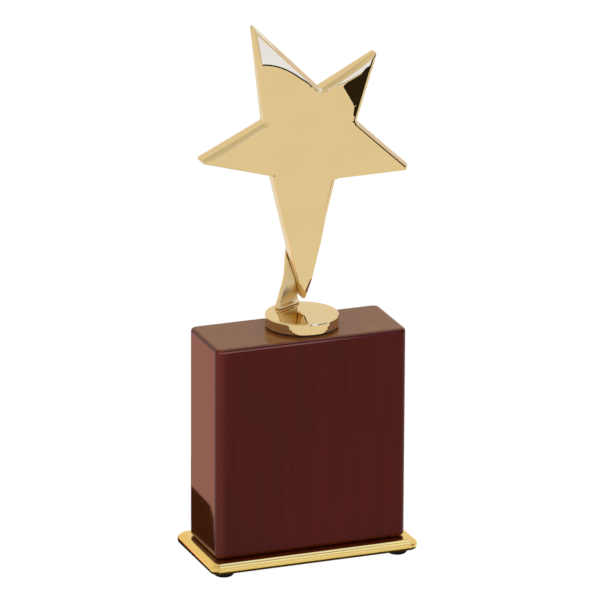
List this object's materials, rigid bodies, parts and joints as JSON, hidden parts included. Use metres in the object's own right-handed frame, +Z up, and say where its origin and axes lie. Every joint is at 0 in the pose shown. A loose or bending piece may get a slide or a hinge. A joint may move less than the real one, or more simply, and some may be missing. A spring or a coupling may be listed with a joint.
{
  "type": "star trophy",
  "caption": "Gold star trophy: irregular mirror-polished star on a rear leg and turned disc, upright glossy red-brown hardwood block, moulded gold base plate on rubber feet",
  "frame": {"origin": "on the standing surface, at the bottom centre of the whole trophy's bounding box, 3.35 mm to the right of the block's middle because the star reaches further right than the base", "axes": "+Z up, along the height; the star's face and the block's wide front look along -Y; +X to the right seen from the front"},
  "size_m": [0.1166, 0.055, 0.2701],
  "materials": {
    "gold_star": "mirror polished gold plating over a zinc casting",
    "gold_leg": "mirror polished gold plating over a zinc casting",
    "gold_disc": "mirror polished gold plating, turned",
    "gold_plate": "polished gold plating, moulded edge",
    "rosewood_lacquer": "high-gloss piano lacquer over dark red hardwood with fine upright grain",
    "brown_pad": "thin dark brown fibre pad",
    "zinc_steel": "bright zinc plate",
    "pin_steel": "plain steel",
    "nut_steel": "zinc plate",
    "screw_brass": "brass plated",
    "black_rubber": "matt black rubber"
  },
  "bodies": {
    "root": {"star_plate": "gold_star", "rear_leg": "gold_leg", "leg_screw_upper": "zinc_steel", "leg_screw_lower": "zinc_steel", "leg_pin_left": "pin_steel", "leg_pin_right": "pin_steel", "pedestal_disc": "gold_disc", "disc_pad": "brown_pad", "wood_block": "rosewood_lacquer", "tie_rod": "zinc_steel", "rod_washer": "zinc_steel", "rod_lock_washer": "pin_steel", "rod_nut": "nut_steel", "base_plate": "gold_plate", "plate_screw_front_left": "screw_brass", "foot_front_left": "black_rubber", "plate_screw_front_right": "screw_brass", "foot_front_right": "black_rubber", "plate_screw_rear_left": "screw_brass", "foot_rear_left": "black_rubber", "plate_screw_rear_right": "screw_brass", "foot_rear_right": "black_rubber"}
  },
  "joints": []
}
